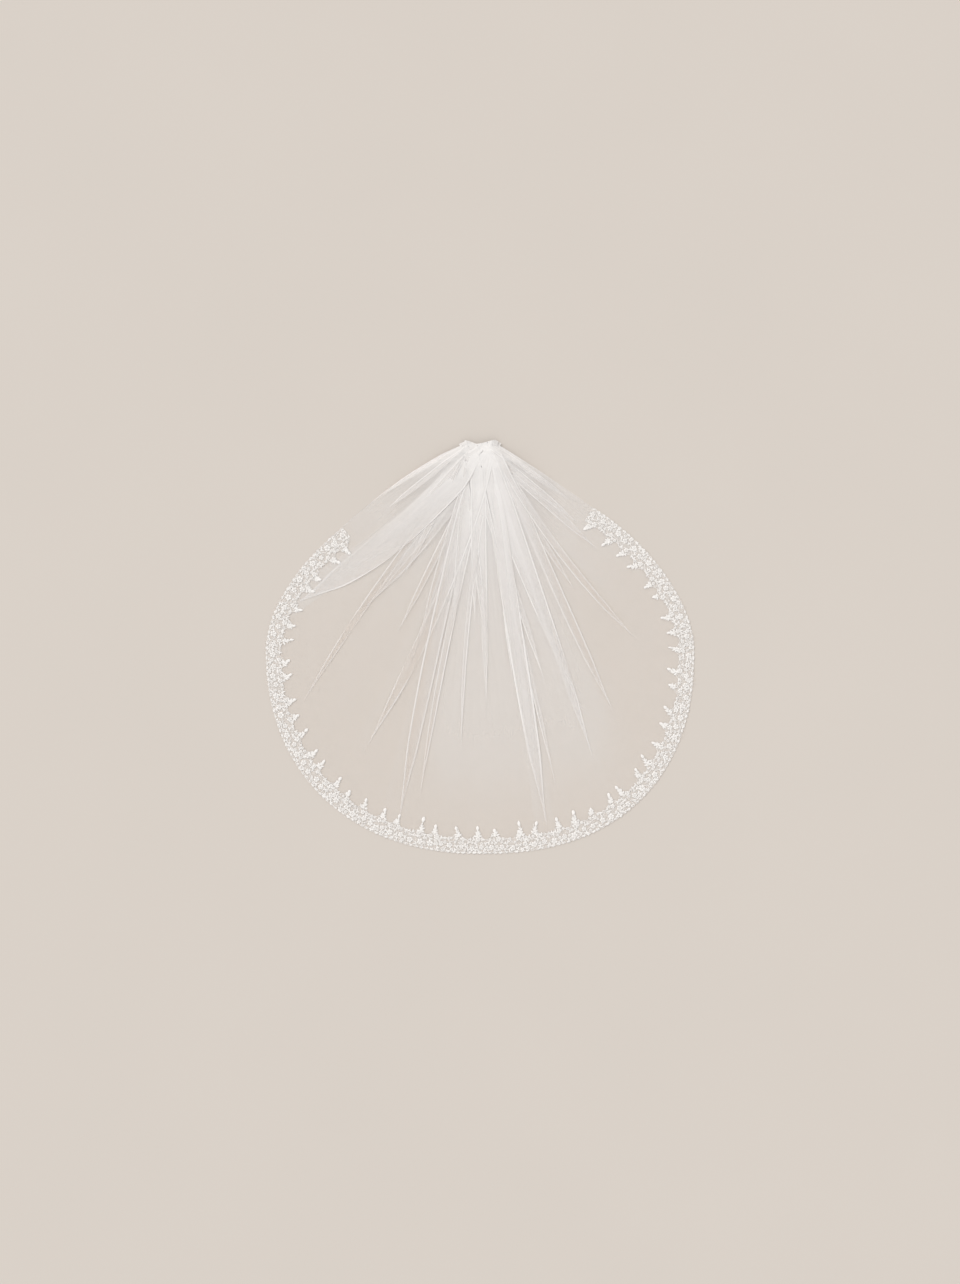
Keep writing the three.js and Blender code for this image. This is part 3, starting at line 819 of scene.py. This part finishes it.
def domes(layout, along, across, radius, base, rings=4, around=9):
    """Small knots: half balls a little flatter than round."""
    tilt = np.linspace(0, np.pi / 2 - 0.06, rings)[:, None]
    spin = np.linspace(0, -2 * np.pi, around)[None]
    r = radius[:, None, None]
    x = along[:, None, None] + r * np.cos(tilt) * np.cos(spin)
    y = across[:, None, None] + r * np.cos(tilt) * np.sin(spin)
    return raised(layout.at(x, y), base + 0.9 * r * np.sin(tilt)), together(r * spin, r * tilt)


def leaf_rows(along, across, length, width, turn, lift, bend=0.0):
    """What leaves() takes: a row of each value, with a column for each leaf."""
    wide = np.broadcast_arrays(along, across, length, width, turn, lift, bend)
    return np.reshape(wide, (len(wide), -1))


def motif_places(layout, sizes, random):
    """Where the border's motifs are: the large blossoms' places and radii, then the small motifs' places and
    a random number for each one's kind. These stand in uneven rows, clear of the blossoms."""
    middle, pitch = repeats_of(layout)
    shape = (REPEATS, len(BLOSSOMS.along))
    shift = random.normal(0, 1.5 * MM, shape)
    large_along = (middle[:, None] + (BLOSSOMS.along - 0.5) * pitch + shift).ravel()
    large_across = (BLOSSOMS.across * MM + random.normal(0, 1.2 * MM, shape)).ravel()
    radius = (BLOSSOMS.radius * MM * random.uniform(0.88, 1.1, shape)).ravel()
    rows = np.linspace(7.2 * MM, sizes.band - 3.4 * MM, MOTIF_ROWS)
    count = int(layout.length / MOTIF_PITCH)
    every_other = 0.5 * (np.arange(MOTIF_ROWS) % 2)
    along = (np.arange(count)[:, None] + 0.3 + every_other) * layout.length / count
    along = (along + random.normal(0, 0.9 * MM, along.shape)).ravel()
    across = (rows + random.normal(0, 0.8 * MM, (count, MOTIF_ROWS))).ravel()
    apart = np.hypot(along[:, None] - large_along, across[:, None] - large_across) - radius
    keep = (apart.min(axis=1) > 1.6 * MM) & (across < inner_edge(layout, sizes, along) - 1.5 * MM)
    kind = random.uniform(0, 1, along.shape)
    return (large_along, large_across, radius), (along[keep], across[keep], kind[keep])


def sprays(sizes, random, along, across):
    """Three small leaves that part from each place."""
    part = np.radians(np.array([0, 118, -122]))
    turn = random.uniform(0, 2 * np.pi, (len(along), 1)) + part + random.normal(0, 0.2, (len(along), 3))
    return leaf_rows(
        along=along[:, None] - 0.6 * MM * np.cos(turn),
        across=across[:, None] - 0.6 * MM * np.sin(turn),
        length=random.uniform(4.2, 6.0, turn.shape) * MM,
        width=random.uniform(2.3, 3.0, turn.shape) * MM,
        turn=turn,
        lift=sizes.height * random.uniform(0.8, 1.1, turn.shape),
        bend=random.uniform(-0.3, 0.3, turn.shape),
    )


def edge_shells(layout, sizes, random):
    """Three small petals to each wave of the edge, pointing outwards."""
    shells = REPEATS * SCALLOPS
    shift = random.normal(0, 0.8 * MM, (shells, 1))
    centre = (np.arange(shells) + 0.5)[:, None] * layout.length / shells + shift
    fan = np.radians(np.array([-142, -90, -38])) + random.normal(0, 0.2, (shells, 3))
    size = random.uniform(0.72, 1.12, (shells, 1))
    return leaf_rows(
        along=centre + np.cos(fan) * 0.6 * MM,
        across=4.9 * MM + np.sin(fan) * 0.6 * MM + random.normal(0, 0.4 * MM, (shells, 1)),
        length=np.array([4.2, 4.5, 4.2]) * MM * size * random.uniform(0.85, 1.05, (shells, 3)),
        width=random.uniform(2.4, 3.4, (shells, 3)) * MM * size,
        turn=fan,
        lift=sizes.height * 0.9,
    )


def sprig_leaves(layout, sizes, random):
    """Leaves of the sprigs, pair above pair and shorter to the top, with a bud at the tip. The sprigs up the
    veil's sides lean."""
    middle = sprig_places(layout)[:, None] + STEM_SHIFT
    tall = sprig_heights(sizes)[:, None]
    bushy = 0.7 + 0.3 * (tall / sizes.tallest_sprig)
    shape = (REPEATS, len(SPRIG_LEAVES.up))
    place = (np.arange(REPEATS)[:, None] + 0.5) / REPEATS - 0.5
    lean = random.normal(0, 0.2, (REPEATS, 1)) - 0.4 * np.sign(place) * smooth(np.abs(place) / 0.25)
    up = SPRIG_LEAVES.up * tall
    pairs = leaf_rows(
        along=middle - np.tan(lean) * up + random.normal(0, 0.4 * MM, shape),
        across=sizes.band - 1 * MM + up,
        length=SPRIG_LEAVES.length * 8.4 * MM * bushy * random.uniform(0.8, 1.15, shape),
        width=SPRIG_LEAVES.length * 4.0 * MM * bushy,
        turn=np.pi / 2 + lean + np.radians(SPRIG_LEAVES.turn) + random.normal(0, 0.12, shape),
        lift=sizes.height,
        bend=np.sign(SPRIG_LEAVES.turn) * -0.2,
    )
    petal = 5.2 * MM + 0.3 * tall
    bud = leaf_rows(
        along=middle - np.tan(lean) * (tall - petal),
        across=sizes.band + tall - petal,
        length=petal,
        width=random.uniform(6.4, 8.2, (REPEATS, 1)) * MM * bushy,
        turn=np.pi / 2 + lean,
        lift=sizes.height * 1.5,
    )
    return pairs, bud


def blossom_petals(along, across, radius, lift, random):
    """Five round petals to a blossom, lifted at their ends, and each blossom's middle."""
    turn = random.uniform(0, 2 * np.pi, (len(along), 1)) + np.arange(5) * 2 * np.pi / 5
    wide = radius[:, None]
    petals = leaf_rows(
        along=along[:, None] + 0.15 * wide * np.cos(turn),
        across=across[:, None] + 0.15 * wide * np.sin(turn),
        length=0.9 * wide,
        width=0.86 * wide,
        turn=turn,
        lift=lift,
    )
    return petals, (along, across, 0.24 * radius)


def border_cords(layout, sizes, random, along, across):
    """Cords of the lace: along the scalloped edge, wavy at the inner side, the two vines, each sprig's stem
    and a curl at each of the given places. Returns each line and its radius."""
    fine = np.linspace(4 * MM, layout.length - 4 * MM, REPEATS * 30)[None]
    turns = 2 * np.pi * fine / layout.length * REPEATS
    edge = scallop(fine, layout, sizes.scallop) + 1.0 * MM
    inner = inner_edge(layout, sizes, fine) - INNER_CORD + 0.9 * MM * np.sin(turns * 3 + 0.8)
    lines = [(fine, edge, 0.35 * MM), (fine, inner, 0.35 * MM)]
    lines += [(fine, vine(layout, fine, row), 0.5 * MM) for row in (0, 1)]
    stem = sizes.band - 5 * MM + np.linspace(0, 1, 7) * sprig_heights(sizes)[:, None]
    lines.append((sprig_places(layout)[:, None] + STEM_SHIFT + 0 * stem, stem, 0.45 * MM))
    angle = np.linspace(0, 1.5 * np.pi, 12)
    start = random.uniform(0, 2 * np.pi, (len(along), 1))
    reach = random.uniform(2.0, 2.7, (len(along), 1)) * MM * (1 - 0.35 * angle / angle[-1])
    curl = (along[:, None] + reach * np.cos(start + angle), across[:, None] + reach * np.sin(start + angle))
    lines.append((*curl, 0.42 * MM))
    return lines


def lace_motifs(layout, sizes):
    """All that is raised on the lace, as a list of grids for each piece."""
    random = np.random.default_rng(SEED)
    large, (along, across, kind) = motif_places(layout, sizes, random)
    small, curled = kind < BLOSSOMS_TO, kind >= SPRAYS_TO
    spray = ~small & ~curled
    sprayed = sprays(sizes, random, along[spray], across[spray])
    pairs, bud = sprig_leaves(layout, sizes, random)
    leaf_sets = [sprayed, edge_shells(layout, sizes, random), pairs]
    grown = [leaves(layout, leaf) for leaf in leaf_sets]
    grown.append(leaves(layout, bud, steps=(8, 7), round_end=1.1, groove=0.3))
    radii = random.uniform(2.6, 3.3, small.sum()) * MM
    lifted = []
    for centres, lift in ((large, 1.3), ((along[small], across[small], radii), 1.0)):
        petals, knots = blossom_petals(*centres, sizes.height * lift, random)
        lifted.append(leaves(layout, petals, LACE_BASE + PETALS_ABOVE, round_end=1.3, groove=0.25))
        lifted.append(domes(layout, *knots, LACE_BASE + KNOTS_ABOVE))
    lines = border_cords(layout, sizes, random, along[curled], across[curled])
    laid = [cords(layout, *line) for line in lines]
    return {"lace_leaves": grown, "lace_blossoms": lifted, "lace_cords": laid}


def lace_ground(layout, sizes):
    """The band's net ground as a flat grid, from the scalloped edge to the inner cord, and its flat
    places."""
    along = np.linspace(0, layout.length, REPEATS * 16 + 1)[:, None]
    outer = scallop(along, layout, sizes.scallop)
    inner = inner_edge(layout, sizes, along) - INNER_CORD
    across = outer + (inner - outer) * np.linspace(0, 1, 9)
    return raised(layout.at(along, across), LACE_BASE - GROUND_BELOW), together(along, across)


def join_grids(name, grids):
    """One mesh from several sets of grids, each with its stitch map."""
    objects = []
    for index, (points, uv) in enumerate(grids):
        mesh = grid_mesh(f"{name}_{index}", points)
        add_map(mesh, "stitch", uv)
        objects.append(add_object(mesh.name, mesh))
    with bpy.context.temp_override(active_object=objects[0], selected_editable_objects=objects):
        bpy.ops.object.join()
    joined = objects[0].data
    bpy.data.objects.remove(objects[0])
    joined.name = name
    return joined


class VEIL_OT_lace(bpy.types.Operator):
    """Lay the lace edging along the hem: its net ground, leaves, blossoms and cords"""

    bl_idname = "veil.lace"
    bl_label = "Lace edging"

    def execute(self, context):
        layout, sizes = Layout(context.scene.veil_sizes), context.scene.lace_sizes
        thread = lace_finish("lace thread", sizes.colour)
        motifs = lace_motifs(layout, sizes).items()
        pieces = [show(name, join_grids(name, grids), thread) for name, grids in motifs]
        points, flat = lace_ground(layout, sizes)
        mesh = grid_mesh("lace_ground", points[None])
        add_attribute(mesh, "layers", np.ones(points.shape[:2]))
        add_map(mesh, "net", flat)
        net = net_finish("lace net", sizes.colour, sizes.colour, 1.5 * MM, 0.26, 0.8, streaks=0)
        ground = show("lace_ground", mesh, net, ["lace_edging"])
        return {"FINISHED"}


# The comb


def comb_spine(width, height, thickness, above):
    """A bar whose section is a rounded square: half sizes times the cosine or sine to the power one half. It
    shrinks to a near point at its ends."""
    run = np.linspace(-1, 1, 41)
    around = np.linspace(0, 2 * np.pi, 25)
    x = np.sign(run) * (1 - (1 - np.abs(run)) ** 1.6) * width / 2
    shrink = np.maximum((1 - np.abs(run) ** 14) ** 0.5, 0.02)[:, None]
    c, s = np.cos(around), np.sin(around)
    y = above - height / 2 + shrink * (np.sign(c) * np.abs(c) ** 0.5 * height / 2)
    z = thickness / 2 + shrink * (np.sign(s) * np.abs(s) ** 0.5 * thickness / 2)
    return together(x[:, None], y, z)[None]


class VEIL_OT_comb(bpy.types.Operator):
    """Make the hair comb that the net is gathered onto"""

    bl_idname = "veil.comb"
    bl_label = "Comb"

    def execute(self, context):
        sizes = context.scene.comb_sizes
        width = COMB_HIGH.x - COMB_LOW.x
        root = SPINE_ABOVE_SEAM - sizes.spine + 1.5 * MM
        tip = COMB_LOW.y - ORIGIN[1]
        x = np.linspace(-1, 1, sizes.teeth) * (width - sizes.tooth_root) / 2
        starts = together(x, root, COMB_THICKNESS / 2)
        ends = together(x, tip, COMB_THICKNESS / 2 - 0.3 * MM)
        radii = np.tile([sizes.tooth_root / 2, sizes.tooth_tip / 2], (sizes.teeth, 1))
        material = comb_finish("pale comb plastic", sizes.colour)
        spine = comb_spine(width, sizes.spine, COMB_THICKNESS, SPINE_ABOVE_SEAM)
        for name, points in (("comb_spine", spine), ("comb_teeth", rods(starts, ends, radii))):
            show(name, grid_mesh(name, points), material, ["comb"])
        return {"FINISHED"}


# The stage


class VEIL_OT_stage(bpy.types.Operator):
    """Set the floor, the soft light and the camera straight above"""

    bl_idname = "veil.stage"
    bl_label = "Stage"

    def execute(self, context):
        scene, stage = context.scene, context.scene.veil_stage
        side = np.array([-FLOOR_HALF, FLOOR_HALF])
        floor_mesh = grid_mesh("floor", together(side[:, None], side, -FLOOR_BELOW)[None])
        floor_mesh.materials.append(floor_finish("floor", stage.floor_colour))
        floor = add_object("floor", floor_mesh)
        scene.world = bpy.data.worlds.new("soft room")
        scene.world.use_nodes = True
        background = scene.world.node_tree.nodes["Background"]
        background.inputs["Color"].default_value = (1, 1, 1, 1)
        background.inputs["Strength"].default_value = stage.sky
        lamp = bpy.data.lights.new("window", "SUN")
        lamp.energy = stage.sun
        lamp.angle = np.radians(40)
        window = add_object("window", lamp)
        window.rotation_euler = (np.radians(-28), np.radians(-36), 0)
        lens = bpy.data.cameras.new("camera")
        lens.sensor_width = 36
        lens.lens = lens.sensor_width * stage.camera_height / (PHOTO_HEIGHT * PIXEL)
        camera = add_object("camera", lens)
        photo_middle = ORIGIN[1] - (PHOTO_HEIGHT / 2 - SEAM_ROW) * PIXEL
        camera.location = (ORIGIN[0], photo_middle, stage.camera_height)
        scene.camera = camera
        scene.view_settings.view_transform = "Standard"
        scene.cycles.transparent_max_bounces = 48
        scene.cycles.diffuse_bounces = 10
        return {"FINISHED"}


class VEIL_PT_panel(bpy.types.Panel):
    """The veil's sizes and pieces"""

    bl_idname = "VEIL_PT_panel"
    bl_label = "Bridal veil"
    bl_space_type = "VIEW_3D"
    bl_region_type = "UI"
    bl_category = "Veil"

    def draw(self, context):
        for operator in OPERATORS:
            self.layout.operator(operator.bl_idname)
        for pointer, group in GROUPS.items():
            box = self.layout.box()
            for name in group.__annotations__:
                box.prop(getattr(context.scene, pointer), name)


GROUPS = {
    "veil_sizes": VeilSizes,
    "lace_sizes": LaceSizes,
    "comb_sizes": CombSizes,
    "veil_stage": StageSizes,
}
OPERATORS = (VEIL_OT_net, VEIL_OT_lace, VEIL_OT_comb, VEIL_OT_stage)


def register():
    for made in (*GROUPS.values(), *OPERATORS, VEIL_PT_panel):
        bpy.utils.register_class(made)
    for name, group in GROUPS.items():
        setattr(bpy.types.Scene, name, PointerProperty(type=group))


def unregister():
    for name in GROUPS:
        delattr(bpy.types.Scene, name)
    for made in (VEIL_PT_panel, *reversed(OPERATORS), *reversed(GROUPS.values())):
        bpy.utils.unregister_class(made)


def main():
    register()
    bpy.ops.veil.net()
    bpy.ops.veil.lace()
    bpy.ops.veil.comb()
    bpy.ops.veil.stage()


if __name__ == "__main__":
    main()
